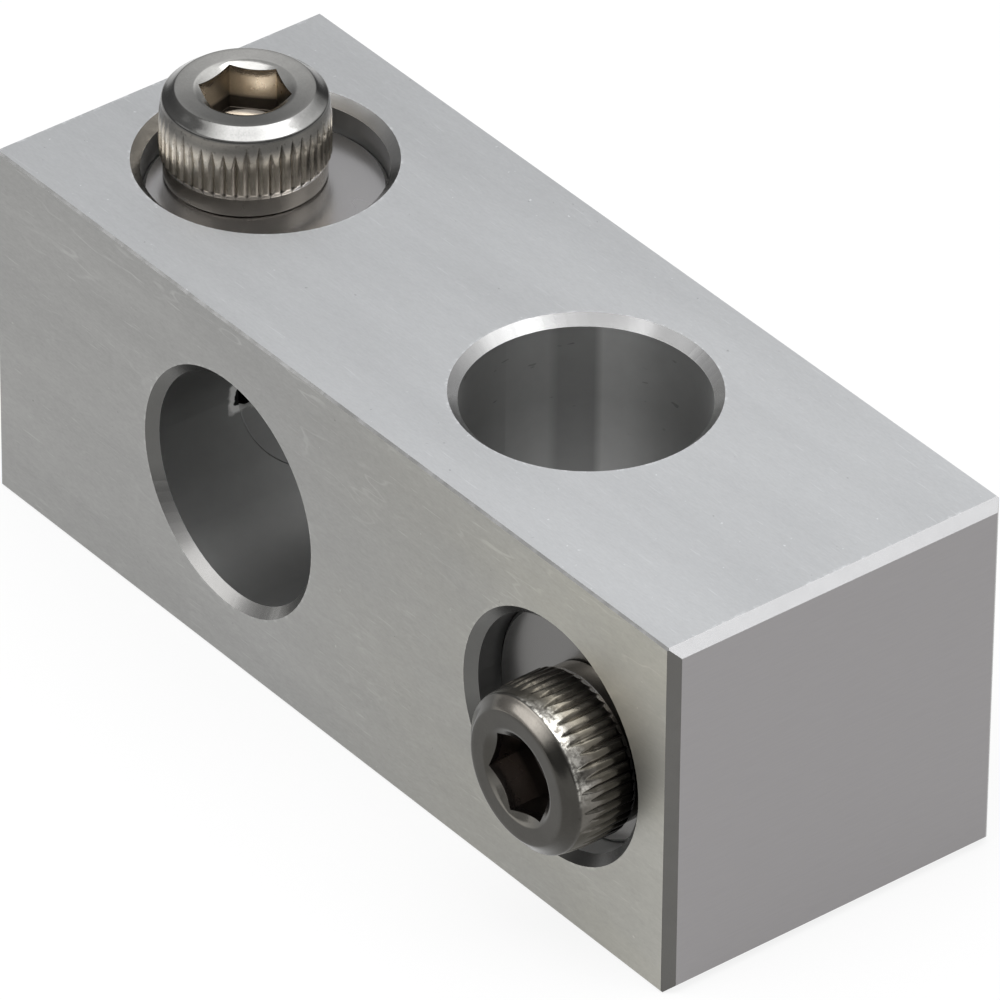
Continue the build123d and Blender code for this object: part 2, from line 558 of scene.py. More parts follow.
def surface_tone(t, bar, grain, cloud):
    """Tone of all the bar: brushed long faces, mottled cut faces, ends with fine level lines."""
    mottled = t.streaks(bar.place, (900, 900, 900), (2, 8, 1), detail=3.0)
    milled = t.streaks(bar.place, (300, 500, 9000), (4, 4, 4), roughness=0.5)
    tone = t.blend(bar.face, t.vary(mottled, 0.97, 1.03), face_tone(t, bar, grain, cloud))
    return t.blend(bar.end, tone, t.vary(milled, 0.985, 1.015))


def angle_in_right_bore(t, over, y):
    """Degrees round the right bore. They jump by 360 on the side that the camera can't see."""
    far = math.radians(FAR_SIDE)
    far_x, far_y = math.cos(far), math.sin(far)
    ahead = t.total(t.product(over, far_x), t.product(y, far_y))
    aside = t.minus(t.product(y, far_x), t.product(over, far_y))
    return t.math("MULTIPLY_ADD", t.math("ARCTAN2", aside, ahead), 180 / math.pi, FAR_SIDE)


def right_bore_light(t, bar):
    """Painted light in faint upright bands on the wall of the right bore, and a few nicks near its mouth.
    """
    over = t.minus(bar.x, ROD_X)
    around = angle_in_right_bore(t, over, bar.y)
    band = t.blend(t.span(around, 104.0, 122.0), t.span(around, 60.0, 98.0, 1.24, 1.20), 1.44)
    band = t.blend(t.span(around, 133.5, 137.5), band, 0.83)
    band = t.blend(t.span(around, 153.5, 158.5), band, t.span(around, 166.0, 190.0, 1.16, 1.00))
    band = t.product(band, t.span(bar.z, 15.5, 19.0, 1.0, 1.32))
    nick = t.streaks(bar.place, (1100, 1100, 3600), (6, 2, 9), detail=1.0, roughness=0.5)
    nick = t.product(t.span(nick, 0.735, 0.77), t.span(bar.z, 13.0, 16.0, 0.0, 0.4))
    on_wall = t.below(t.off(t.distance(over, bar.y), BORE_RADIUS), SKIN)
    return t.only(t.minus(on_wall, bar.mouth, clamp=True), t.minus(band, nick))


def mouth_light(t, bar):
    """Painted light and shade on each rim that the camera sees, by the way that it faces."""
    on_top = t.product(bar.level_mouth, t.above(bar.z, 19.0))
    at_front = t.product(bar.side_mouth, t.below(bar.y, 0.0))
    right_bore = t.product(t.span(bar.tilt_y, 0.25, -0.66, 1.45, 0.60),
                           t.span(bar.tilt_x, 0.0, -0.33, 1.0, 2.2))
    top_clamp_hole = t.product(t.span(bar.tilt_x, -0.60, -0.70, 1.0, 2.5),
                               t.span(bar.tilt_y, -0.30, -0.60, 1.0, 0.78))
    left_bore = t.span(bar.tilt_x, 0.0, -0.68, 1.0, 1.85)
    return t.product(
        t.only(t.product(on_top, bar.on_right), right_bore),
        t.only(t.product(on_top, bar.on_left), top_clamp_hole),
        t.only(t.product(at_front, bar.on_left), left_bore),
    )


def wall_light(t, bar):
    """Painted light and shade on the walls of the left bore and of both clamp holes."""
    in_left_bore = t.product(bar.wall, bar.on_left, t.below(bar.steep_y, 0.3))
    left_bore = t.product(t.span(bar.z, 5.4, 4.3, 1.0, 1.4), left_bore_light(t, bar.y))
    by_top_screw = t.product(bar.wall, t.below(bar.x, -11.0), t.above(bar.z, 18.0))
    top_clamp_hole = t.total(t.span(bar.y, -1.0, 3.5, 1.6, 0.30), t.span(bar.y, 4.0, 6.0, 0.0, 0.65))
    by_front_screw = t.product(bar.wall, t.above(bar.x, 11.0), t.below(bar.y, -8.0))
    front_clamp_hole = t.span(bar.z, 9.0, 5.0, 0.5, 1.8)
    return t.product(
        t.only(in_left_bore, left_bore),
        t.only(by_top_screw, top_clamp_hole),
        t.only(by_front_screw, front_clamp_hole),
    )


def mouth_colour(t, bar):
    """Colour of the rims round the holes: painted light where they face up, painted shade where they don't,
    and darker painted shade beside the front screw.
    """
    facing_up = t.vector("DOT_PRODUCT", {0: bar.normal, 1: (0.25, 0.0, 0.97)})["Value"]
    by_screw = t.product(bar.on_right, t.below(bar.y, 0.0))
    low_down = t.product(by_screw, t.span(bar.z, 9.0, 6.0))
    # Painted light on the rims that face up, painted shade on the others and by the front screw
    lit = t.mix(bar.level_mouth, t.mix(by_screw, SIDE_MOUTH_LIT, SCREW_MOUTH_LIT), LEVEL_MOUTH_LIT)
    shaded = t.mix(low_down, SIDE_MOUTH_SHADED, SCREW_MOUTH_SHADED)
    shaded = t.mix(bar.level_mouth, shaded, LEVEL_MOUTH_SHADED)
    return t.mix(t.span(facing_up, 0.42, 0.66), shaded, lit)


def bar_colour(t, bar, cloud):
    """Colour of the faces, walls and rims, with the level faces painted lighter than the sides and ends.
    The sides turn beige in clouds towards the right.
    """
    beige = t.product(t.span(cloud, 0.36, 0.60, 0.7, 1.1), t.span(bar.x, -4.0, 22.0, 0.05, 1.0))
    # Painted light and shade by the way a face looks: level faces lit, sides and ends shaded
    colour = t.mix(t.span(bar.steep_z, 0.5, 0.9), t.mix(beige, SHADED_SIDE_GREY, SHADED_SIDE_BEIGE), LIT_LEVEL_GREY)
    colour = t.mix(bar.face, BORE_GREY, colour)
    colour = t.mix(bar.end, colour, SHADED_END_GREY)
    colour = t.mix(bar.mouth, colour, mouth_colour(t, bar))
    # Painted light on the end rims that face up, painted shade on those that face sideways
    colour = t.mix(bar.end_rim, colour, t.mix(t.span(bar.tilt_z, 0.3, 0.6), SHADED_END_RIM_SIDE, LIT_END_RIM_TOP))
    chips = t.span(t.noise(bar.place, 800.0, 2.0, 0.6), 0.42, 0.66)
    return t.mix(bar.long_edge, colour, t.mix(chips, LONG_EDGE, LONG_EDGE_CHIPPED))


def bar_material():
    """The bar: drawn and brushed long faces, milled ends, machined bores and rims."""
    material, t = new_material("brushed_aluminium_bar")
    bar = BarSurface(t)
    fine = t.streaks(bar.place, (3000, 8500, 8500))
    medium = t.streaks(bar.place, (900, 2600, 2600), (3, 1, 7))
    cloud = t.streaks(bar.place, (70, 160, 160), (9, 3, 4), roughness=0.5)
    grain = t.total(t.product(fine, 0.55), t.product(medium, 0.45))

    hole, burr = burr_masks(t, bar.place)
    bare = t.minus(1.0, t.highest(bar.face, bar.mouth))
    burr = t.product(burr, bare)
    colour = t.mix(burr, bar_colour(t, bar, cloud), BAR_BURR)
    # A near black patch of painted shade at the jaws' gap
    colour = t.mix(t.product(hole, bare), colour, PAINTED_GAP_SHADE)
    tone = t.product(
        surface_tone(t, bar, grain, cloud),
        right_bore_light(t, bar),
        mouth_light(t, bar),
        wall_light(t, bar),
    )
    rough = t.blend(bar.face, CUT_ROUGHNESS, t.vary(grain, 0.47, 0.41))
    rough = t.blend(bar.end, rough, END_ROUGHNESS)
    rough = t.blend(t.highest(bar.end_rim, bar.mouth), rough, RIM_ROUGHNESS)
    strength = t.blend(bar.end, t.blend(bar.face, 0.3, 0.85), 0.15)
    metal = t.math("MULTIPLY_ADD", burr, -0.85, 1.0)
    shade(t, t.scaled(colour, tone), rough, fine, BRUSHED_DEPTH, metal, strength)
    return material


def turned_rings(t, place, centre, along):
    """Fine rings round an axis that goes through the centre, along x (0), y (1) or z (2)."""
    across = tuple(0.0 if axis == along else 1.0 for axis in range(3))
    moved = t.vector("SUBTRACT", {0: place, 1: centre})[0]
    flat = t.vector("MULTIPLY", {0: moved, 1: across})[0]
    radius = t.vector("LENGTH", {0: flat})["Value"]
    cells = t.add("ShaderNodeCombineXYZ", {0: t.product(radius, TURNED_CELLS)}).outputs[0]
    return t.noise(cells, 1.0, 3.0, 0.6)


def jaw_material(name, centre, along, colour):
    """A turned jaw: fine rings on its flat faces, and a seat like the wall of the bar's bore."""
    material, t = new_material(name)
    place = t.place()
    x, y, _ = t.in_mm(place)
    level = t.above(t.absolute(t.split(t.normal())[along]), STRAIGHT)
    rings = t.blend(level, 0.5, turned_rings(t, place, centre, along))
    cloud = t.noise(place, 220.0, 2.0, 0.5)
    in_left_bore = t.product(t.minus(1.0, level), t.below(x, 0.0))
    tone = t.product(
        t.vary(rings, 0.97, 1.03),
        t.vary(cloud, 0.96, 1.04),
        t.only(in_left_bore, left_bore_light(t, y)),
    )
    hole, burr = burr_masks(t, place)
    colour = t.mix(burr, t.mix(level, BORE_GREY, colour), JAW_BURR)
    # A near black patch of painted shade at the jaws' gap
    colour = t.mix(hole, colour, PAINTED_GAP_SHADE)
    rough = t.blend(level, CUT_ROUGHNESS, t.vary(cloud, 0.22, 0.28))
    shade(t, t.scaled(colour, tone), rough, rings, FINE_DEPTH)
    return material


def steel_colour(t, place, groove, socket, colours):
    """Colour of a screw by zone, with painted shade in the grooves and the socket, a painted light zone on
    the bevel, and painted highlights on the crests, the groove ends and the drill cone.
    """
    painted_groove_shade = tuple(0.34 * value for value in colours["knurl"])
    broken = t.span(t.noise(t.shifted(place, 3.0), 3400.0, 2.0, 0.6), 0.36, 0.60)
    colour = t.mix(t.look("bevel"), colours["plain"], colours["bevel"])
    colour = t.mix(t.look("knurl"), colour, colours["knurl"])
    # Painted shade in the grooves of the knurl and the thread
    colour = t.mix(t.product(groove, 0.72), colour, painted_groove_shade)
    # Painted shine on the crests
    colour = t.mix(t.product(t.look("shine"), broken), colour, PAINTED_CREST_SHINE)
    # Painted highlights on the groove ends and the drill cone
    colour = t.mix(t.look("tip"), colour, PAINTED_TIP_HIGHLIGHT)
    # Painted light on the socket walls, painted shade on its floor and lower walls
    colour = t.mix(t.span(socket, 0.0, 0.5), colour, colours["socket_wall"])
    return t.mix(t.span(socket, 0.5, 1.0), colour, colours["socket_floor"])


def steel_material(name, colours):
    """Stainless steel of a screw, with fine grit all over, pits in the plain band, and the painted light
    and shade that its points carry.
    """
    material, t = new_material(name)
    place = t.place()
    groove = t.look("groove")
    socket = t.look("socket")
    cloud = t.noise(place, 500.0, 3.0, 0.6)
    grit = t.noise(place, 9000.0, 2.0, 0.6)
    pits = t.span(t.noise(place, 5200.0, 1.5, 0.6), 0.62, 0.72)
    tone = t.product(t.vary(cloud, 0.90, 1.08), t.vary(grit, 0.95, 1.05))
    tone = t.minus(tone, t.product(pits, t.look("band"), 0.35))
    # Painted light and shade carried by the screw's points
    tone = t.product(tone, t.total(t.look("light"), 1.0))
    colour = t.scaled(steel_colour(t, place, groove, socket, colours), tone)
    rough = t.total(t.vary(cloud, 0.15, 0.21), t.product(groove, 0.14), t.product(socket, 0.2))
    shade(t, colour, rough, grit, FINE_DEPTH)
    return material


@contextmanager
def edited(mesh):
    """The mesh in a form that can be edited. The edits go back into it afterwards."""
    work = bmesh.new()
    work.from_mesh(mesh)
    yield work
    work.to_mesh(mesh)
    work.free()


def add_object(name, data):
    made = bpy.data.objects.new(name, data)
    bpy.context.scene.collection.objects.link(made)
    return made


def build(name, points, faces, values=None):
    """A clean mesh object from points in millimetres, and the values of each look at them."""
    mesh = bpy.data.meshes.new(name)
    mesh.from_pydata((points * MM).tolist(), [], faces)
    for key, numbers in (values or {}).items():
        mesh.attributes.new(key, "FLOAT", "POINT").data.foreach_set("value", numbers.astype(np.float32))
    with edited(mesh) as work:
        bmesh.ops.remove_doubles(work, verts=work.verts, dist=SAME_POINT)
        bmesh.ops.dissolve_degenerate(work, edges=work.edges, dist=SAME_POINT)
        bmesh.ops.recalc_face_normals(work, faces=work.faces)
    return add_object(name, mesh)


def smooth(made, degrees):
    bpy.ops.object.select_all(action="DESELECT")
    made.select_set(True)
    bpy.context.view_layer.objects.active = made
    bpy.ops.object.shade_smooth_by_angle(angle=math.radians(degrees))


def seat_matrix(origin, x_axis, z_axis):
    """The frame of a screw seat, from its origin in millimetres and two of its axes."""
    z_axis, x_axis = Vector(z_axis), Vector(x_axis)
    y_axis = z_axis.cross(x_axis)
    matrix = Matrix((x_axis, y_axis, z_axis)).transposed().to_4x4()
    matrix.translation = Vector(origin) * MM
    return matrix


def ring_points(angle, radius, height):
    """Points round the z axis, at one radius and height or at one for each of them."""
    return np.stack([radius * np.cos(angle), radius * np.sin(angle), height + 0 * angle], axis=-1)


def ring_faces(rings, sides):
    """Quads between each closed ring of points and the next one."""
    index = np.arange(rings * sides).reshape(rings, sides)
    beside = np.roll(index, -1, axis=1)
    return np.stack([index[:-1], index[1:], beside[1:], beside[:-1]], axis=2).reshape(-1, 4)


def fan_faces(centre, first, sides):
    """Triangles from a centre to a closed ring of points."""
    ring = first + np.arange(sides)
    return np.stack([np.full(sides, centre), ring, np.roll(ring, -1)], axis=1)


def thread_radius(phase, crest, root):
    """Radius of a 60 degree thread at phase 0..1 of its pitch, with a flat crest and root."""
    from_crest = np.abs(((phase + 0.5) % 1.0) - 0.5)
    share = (from_crest - CREST_FLAT / 2) / (1 / 2 - CREST_FLAT / 2 - ROOT_FLAT / 2)
    return crest + (root - crest) * np.clip(share, 0, 1)


def thread_sheet(low, high, crest, root, start_angle, limit):
    """Points and faces of a helical thread. limit(z, radius) trims its radius near the ends."""
    rows = int(math.ceil((high - low) / PITCH) + 3) * ROWS_PER_PITCH
    columns = np.arange(SHANK_DIVISIONS)
    angle = (start_angle + columns * TAU / SHANK_DIVISIONS)[:, None]
    first = math.floor(low / PITCH - start_angle / TAU) - 1
    row = np.arange(rows)
    z = PITCH * (first + row[None, :] / ROWS_PER_PITCH + angle / TAU)
    radius = thread_radius(row / ROWS_PER_PITCH, crest, root)[None, :] + 0 * z
    z = np.clip(z, low, high)
    faces = []
    for column in columns:
        last = column == SHANK_DIVISIONS - 1
        j = row[:-1 - ROWS_PER_PITCH] if last else row[:-1]
        here = column * rows + j
        # The last column meets the first one a pitch further up
        there = j + ROWS_PER_PITCH if last else here + rows
        faces.append(np.stack([here, there, there + 1, here + 1], axis=1))
    return ring_points(angle, limit(z, radius), z).reshape(-1, 3), np.concatenate(faces)


class Head:
    """The head of a screw as rings of points, from the middle of the socket out to the seat."""

    def __init__(self, turn, look):
        self.look = look
        self.angle = turn + np.arange(HEAD_DIVISIONS) * TAU / HEAD_DIVISIONS
        self.hexagon = SOCKET_HALF_FLATS / np.cos((self.angle - turn) % (TAU / 6) - TAU / 12)
        self.seen = self.facing(look["view_at"], 130, 3.0)
        self.shiny = np.max([share * self.facing(at, half) for at, half, share in look["shines"]], axis=0)
        self.rows = []
        self.draw_grooves()
        self.add_socket_floor()
        self.add_socket_walls()
        self.add_lip_and_ring()
        self.add_bevel_and_band()
        self.add_knurl()
        self.add_groove_ends()
        self.add_collar()

    def facing(self, centre, half, slope=1.5):
        """1 at the angle centre, falling to 0 at half to either side of it, in degrees."""
        off = np.abs((np.degrees(self.angle) - centre + 180) % 360 - 180)
        return np.clip(slope * (1 - off / half), 0, 1)

    def row(self, height, radius, **looks):
        """One ring of points with its looks, which are 0 where none is given."""
        values = [height, radius] + [looks.get(look, 0.0) for look in LOOKS]
        self.rows.append([value + 0.0 * self.angle for value in values])

    def draw_grooves(self):
        """Draws the depth, width, upper end and shift of each groove of the knurl, and where the painted
        shine on the crests begins.
        """
        count = self.angle / TAU * KNURL_COUNT
        nearest = np.round(count).astype(int) % KNURL_COUNT
        before = np.floor(count).astype(int) % KNURL_COUNT
        self.depth = (GROOVE_DEPTH * rng.uniform(0.85, 1.0, KNURL_COUNT))[nearest]
        width = (GROOVE_HALF_WIDTH * rng.uniform(0.9, 1.08, KNURL_COUNT))[nearest]
        self.groove_top = rng.uniform(3.75, 4.35, KNURL_COUNT)[nearest]
        shift = rng.uniform(-0.03, 0.03, KNURL_COUNT)[nearest]
        self.shine_shift = rng.uniform(-0.35, 0.35, KNURL_COUNT)[before]
        across = (count + 0.5) % 1.0 - 0.5
        self.across = np.abs(across * TAU / KNURL_COUNT * KNURL_RADIUS + shift) / width

    def add_socket_floor(self):
        """The cone of the drill with a painted highlight, and the floor round it in painted shade."""
        for share in (0.3, 0.7, 0.97, 1.0):
            self.row(SOCKET_FLOOR - DRILL_DEPTH * (1 - share), DRILL_RADIUS * share, tip=0.6)
        self.row(SOCKET_FLOOR, DRILL_RADIUS + 0.005, socket=1.0)
        self.row(SOCKET_FLOOR, self.hexagon - SOCKET_ROUNDING, socket=1.0)
        self.row(SOCKET_FLOOR + SOCKET_ROUNDING, self.hexagon, socket=1.0)

    def add_socket_walls(self):
        """The six walls, with painted shade in their lower third and patches of painted light above it, up
        to the countersink.
        """
        light = sum(amount * self.facing(at, half, slope) for at, half, slope, amount in self.look["walls"])
        edge = MOUTH_HEIGHT - (MOUTH_RADIUS - self.hexagon) * MOUTH_SLOPE
        for share in (0.12, 0.27):
            self.row(SOCKET_FLOOR + (edge - SOCKET_FLOOR) * share, self.hexagon, socket=1.0)
        for share, dark in ((0.36, 0.55), (0.6, 0.5), (0.8, 0.5)):
            self.row(SOCKET_FLOOR + (edge - SOCKET_FLOOR) * share, self.hexagon, socket=dark, light=light)
        self.row(edge - SOCKET_ROUNDING, self.hexagon, socket=0.4, light=light)

    def add_lip_and_ring(self):
        """The countersink of the socket and the ring round it, with painted light on both."""
        lip_at, lip = self.look["lip"]
        lip_light = lip * self.facing(lip_at, 60)
        for share in (0.03, 0.3, 0.6, 0.95):
            radius = self.hexagon + (MOUTH_RADIUS - self.hexagon) * share
            self.row(MOUTH_HEIGHT - (MOUTH_RADIUS - radius) * MOUTH_SLOPE, radius, light=lip_light)
        front = np.cos(self.angle - math.radians(self.look["view_at"]))
        ring_light = self.look["ring"] - self.look["ring_slope"] * front
        for radius in (2.56, 2.6, 2.9, 3.2, RING_RADIUS):
            self.row(HEAD_HEIGHT - RING_SLOPE * (RING_RADIUS - radius), radius, light=ring_light)
        self.row(HEAD_HEIGHT - 0.008, BEVEL_RADIUS - 0.02, light=ring_light)

    def add_bevel_and_band(self):
        """The bevel, with a painted highlight on one side and painted light and shade on the rest, and the
        plain band under it with painted light.
        """
        look = self.look
        bright = self.facing(*look["bevel"])
        light = (1 - bright) * self.seen * look["bevel_side"]
        light = light + look["bevel_right"] * self.facing(look["view_at"] + 54, 45)
        light = light + (look["bevel_end"] - light) * self.facing(look["view_at"] + 104, 22, 3.0)
        self.row(HEAD_HEIGHT - 0.03, BEVEL_RADIUS + 0.025, bevel=bright, light=light)
        for share in (0.3, 0.65, 0.93):
            height = HEAD_HEIGHT - BEVEL_DOWN * share
            self.row(height, BEVEL_RADIUS + BEVEL_OUT * share, band=0.1, bevel=bright, light=light)
        band_light = 1.2 * look["band"] * self.seen
        band_shine = look["band_shine"] * self.shiny
        self.row(*BEVEL_FOOT, band=0.3, bevel=bright, light=light)
        self.row(*BAND_UPPER, band=0.7, light=band_light)
        self.row(*BAND_LOWER, band=1.0, groove=0.15, light=band_light, shine=band_shine)

    def barrel(self, height):
        """Crest radius of the knurl and of the plain band above it."""
        ease = max(0.0, (height - BARREL_FROM) / BARREL_HEIGHT) ** 1.8
        return KNURL_RADIUS - BARREL_EASE * ease

    def knurl_light(self):
        """Painted light on the knurl's side that is seen."""
        all_round, at, extra = self.look["knurl"]
        return (all_round + extra * self.facing(at, 90, 2.0)) * self.seen

    def shine_at(self, height):
        """How much of the painted shine on the crests reaches this height."""
        low = self.look["shine_from"]
        high = low + self.look["shine_height"]
        begun = np.clip((height + self.shine_shift - low) / 0.6, 0, 1)
        return self.look["shine"] * self.shiny * begun * np.clip((high - height) / 0.3, 0, 1)

    def add_knurl(self):
        """The knurl, from the plain band down, with painted light and painted shine. Each groove runs out
        upwards at a height of its own.
        """
        for height in np.linspace(KNURL_TOP, KNURL_BOTTOM, KNURL_ROWS):
            run = np.clip((self.groove_top - height) / GROOVE_RUN_OUT, 0, 1)
            cut = np.clip(run ** 0.7 - self.across, 0, 1)
            plain = np.clip((height - PLAIN_FROM) / PLAIN_OVER, 0, 1)
            fade = self.look["knurl_fade"] * np.clip((FADE_FROM - height) / FADE_OVER, 0, 1)
            light = (1 + self.knurl_light()) * (1 - fade) - 1
            light = light + (self.look["band"] * self.seen - light) * plain
            self.row(
                height,
                self.barrel(height) - self.depth * cut,
                groove=np.maximum(cut, 0.15),
                band=plain,
                knurl=1 - 0.7 * plain,
                shine=self.shine_at(height) * (1 - cut) ** 2,
                light=light,
            )

    def add_groove_ends(self):
        """The lower ends of the grooves, on the collar's flare. Some of the ends carry a painted highlight.
        """
        valley = np.clip(1 - self.across, 0, 1)
        for height in np.linspace(GROOVE_END_HEIGHT, COLLAR_HEIGHT, GROOVE_END_ROWS):
            flare = COLLAR_RADIUS + COLLAR_FLARE * (height - COLLAR_HEIGHT)
            knurl = self.barrel(height) - self.depth * valley
            tip = (flare < knurl) * self.facing(self.look["tips"], 42) * np.clip(3 - 3 * valley, 0, 1)
            self.row(
                height,
                np.minimum(flare, knurl),
                groove=valley * (1 - tip),
                knurl=1.0,
                tip=tip,
                light=(self.knurl_light() - 0.7 * self.seen) * (1 - tip) + 0.7 * tip,
            )

    def add_collar(self):
        """The plain collar with painted light on its seen side, and the rounded edge that stands on the
        seat.
        """
        all_round, at, extra = self.look["collar"]
        light = (all_round + extra * self.facing(at, 50)) * self.seen
        for height in (1.06, 0.9, 0.5, 0.2):
            self.row(height, COLLAR_RADIUS, groove=0.5, knurl=0.5, light=light)
        self.row(0.13, COLLAR_RADIUS - 0.01, groove=0.6, knurl=0.5, light=light)
        self.row(0.03, COLLAR_RADIUS - 0.12, knurl=1.0, groove=0.5)
        self.row(0.0, COLLAR_RADIUS - 0.17, knurl=1.0, groove=0.8)
        self.row(0.0, UNDERSIDE_RADIUS, groove=0.8)

    def grids(self):
        """Height, radius and looks, each as one number for each ring and angle."""
        return [np.stack([row[k] for row in self.rows]) for k in range(2 + len(LOOKS))]


class Shell:
    """The points and faces of a mesh in the making."""

    def __init__(self):
        self.points = np.empty((0, 3))
        self.faces = []

    def add(self, points, *groups):
        """Adds points, and faces that count from the first of them. Returns its number."""
        first = len(self.points)
        self.points = np.vstack([self.points, points])
        for group in groups:
            self.faces += (group + first).tolist()
        return first


def neck_fans(last, neck_at):
    """Triangles between the head's last ring and the neck, which has fewer points."""
    k = np.arange(SHANK_DIVISIONS)
    after = (k + 1) % SHANK_DIVISIONS
    fans = []
    for m in range(FAN):
        rim = last[FAN * k + m]
        rim_next = last[(FAN * k + m + 1) % HEAD_DIVISIONS]
        fans.append(np.stack([rim, neck_at + (k if m < FAN // 2 else after), rim_next], axis=1))
    fans.append(np.stack([last[FAN * k + FAN // 2], neck_at + k, neck_at + after], axis=1))
    return np.concatenate(fans)


def screw_limit(z, radius):
    """Lets a screw's thread run out into the neck, and chamfers it at the tip."""
    fade = np.clip((z - (NECK_HEIGHT - THREAD_RUN_OUT)) / THREAD_RUN_OUT, 0, 1)
    radius = radius + (NECK_RADIUS - radius) * fade
    return np.minimum(radius, TIP_RADIUS + (z + SCREW_LENGTH))


def screw_mesh(name, turn, look):
    """A socket head cap screw in its own frame: seat at 0, head up, x away from the rod."""
    turn = math.radians(turn)
    shell = Shell()
    head = Head(turn, look)
    height, radius, *looks = head.grids()
    rings = ring_points(head.angle, radius, height).reshape(-1, 3)
    drill_end = [[0, 0, SOCKET_FLOOR - DRILL_DEPTH]]
    shell.add(
        np.vstack([rings, drill_end]),
        ring_faces(len(head.rows), HEAD_DIVISIONS),
        fan_faces(len(rings), 0, HEAD_DIVISIONS),
    )

    angle = turn + np.arange(SHANK_DIVISIONS) * TAU / SHANK_DIVISIONS
    neck = [ring_points(angle, NECK_RADIUS, z) for z in (0.0, NECK_HEIGHT)]
    neck_at = shell.add(np.vstack(neck), ring_faces(2, SHANK_DIVISIONS))
    last = np.arange(len(rings) - HEAD_DIVISIONS, len(rings))
    shell.faces += neck_fans(last, neck_at).tolist()
    thread, thread_faces = thread_sheet(
        -SCREW_LENGTH, NECK_HEIGHT, CREST_RADIUS, ROOT_RADIUS, turn, screw_limit)
    thread_at = shell.add(thread, thread_faces)
    tip = np.vstack([[[0, 0, -SCREW_LENGTH]], ring_points(angle, TIP_RADIUS, -SCREW_LENGTH)])
    shell.add(tip, fan_faces(0, 1, SHANK_DIVISIONS))

    values = {}
    for key, grid in zip(LOOKS, looks):
        values[key] = np.concatenate([grid.ravel(), np.zeros(len(shell.points) - grid.size)])
    deep = (CREST_RADIUS - np.hypot(thread[:, 0], thread[:, 1])) / (CREST_RADIUS - ROOT_RADIUS)
    values["groove"][thread_at:thread_at + len(thread)] = np.clip(deep, 0, 1)
    return build(name, shell.points, shell.faces, values)


def add_screw(name, node, body, seat, turn, steel, look):
    """A finished screw in its seat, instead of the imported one."""
    screw = screw_mesh(name, turn, look)
    screw.data.transform(seat)
    screw.data.materials.append(steel)
    smooth(screw, SCREW_SMOOTH)
    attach(screw, body)
    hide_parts(node)


def plug_solid(name, outer, inner):
    """A round bar that fills the jaw's plain hole, sunk a little under both of its faces."""
    k = np.arange(PLUG_SIDES)
    after = (k + 1) % PLUG_SIDES
    angle = k * TAU / PLUG_SIDES
    heights = (outer + PLUG_SUNK_OUTSIDE, inner - PLUG_SUNK_INSIDE)
    rings = [ring_points(angle, PLUG_RADIUS, height) for height in heights]
    walls = np.stack([k, after, after + PLUG_SIDES, k + PLUG_SIDES], axis=1).tolist()
    ends = [k[::-1].tolist(), (k + PLUG_SIDES).tolist()]
    return build(name, np.vstack(rings), walls + ends)


def tap_solid(name, outer, inner):
    """The solid that cuts the thread. Both of its ends are plain circles, so that it closes cleanly."""
    low, high = outer - TAP_BEYOND_OUTSIDE, inner + TAP_BEYOND_INSIDE
    crest, root = CREST_RADIUS + THREAD_CLEARANCE, ROOT_RADIUS + ROOT_CLEARANCE

    def limit(z, radius):
        return np.where((z > low) & (z < high), radius, crest)

    sheet, faces = thread_sheet(low, high, crest, root, 0.0, limit)
    tap = build(name, sheet, faces.tolist())
    with edited(tap.data) as work:
        bmesh.ops.holes_fill(work, edges=[edge for edge in work.edges if edge.is_boundary])
        bmesh.ops.recalc_face_normals(work, faces=work.faces)
    return tap


def combine(made, tool, operation):
    """Adds the tool to the object or cuts it out of it, and deletes the tool."""
    step = made.modifiers.new(operation, "BOOLEAN")
    step.operation = operation
    step.solver = "EXACT"
    step.object = tool
    bpy.context.view_layer.update()
    evaluated = made.evaluated_get(bpy.context.evaluated_depsgraph_get())
    mesh = bpy.data.meshes.new_from_object(evaluated)
    made.modifiers.clear()
    made.data = mesh
    bpy.data.objects.remove(tool)


def add_threaded_jaw(name, node, body, seat, material):
    """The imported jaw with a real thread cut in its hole, in mesh with the screw at rest."""
    jaw = add_object(name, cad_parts[node].data.copy())
    with edited(jaw.data) as work:
        bmesh.ops.remove_doubles(work, verts=work.verts, dist=SAME_JAW_POINT)
    outer, inner = -2 * SEAT_HEIGHT, -SEAT_HEIGHT - JAW_HALF_GAP
    plug = plug_solid(name + "_plug", outer, inner)
    tap = tap_solid(name + "_tap", outer, inner)
    for tool, operation in ((plug, "UNION"), (tap, "DIFFERENCE")):
        tool.data.transform(seat)
        combine(jaw, tool, operation)
    jaw.data.materials.clear()
    jaw.data.materials.append(material)
    smooth(jaw, JAW_SMOOTH)
    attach(jaw, body)
    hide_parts(node)


def floor_material():
    """Pale floor. Camera and mirror rays see it lifted to white, with the object's shadow kept."""
    material, t = new_material("pale_floor")
    path = t.add("ShaderNodeLightPath").outputs
    mirrored = t.highest(path["Is Glossy Ray"], path["Is Transmission Ray"])
    lift = t.highest(t.product(path["Is Camera Ray"], 0.85), t.product(mirrored, 0.7))
    diffuse = t.add("ShaderNodeBsdfDiffuse", {"Color": (0.72, 0.72, 0.72, 1)})
    glow = t.add("ShaderNodeEmission", {"Color": (1, 1, 1, 1), "Strength": 1.0})
    both = t.add("ShaderNodeMixShader", {0: lift, 1: diffuse.outputs[0], 2: glow.outputs[0]})
    t.add("ShaderNodeOutputMaterial", {"Surface": both.outputs[0]})
    return material


def add_floor():
    corners = FLOOR_HALF * np.array([(-1, -1, 0), (1, -1, 0), (1, 1, 0), (-1, 1, 0)])
    floor = build("floor", corners, [(0, 1, 2, 3)])
    floor.data.materials.append(floor_material())


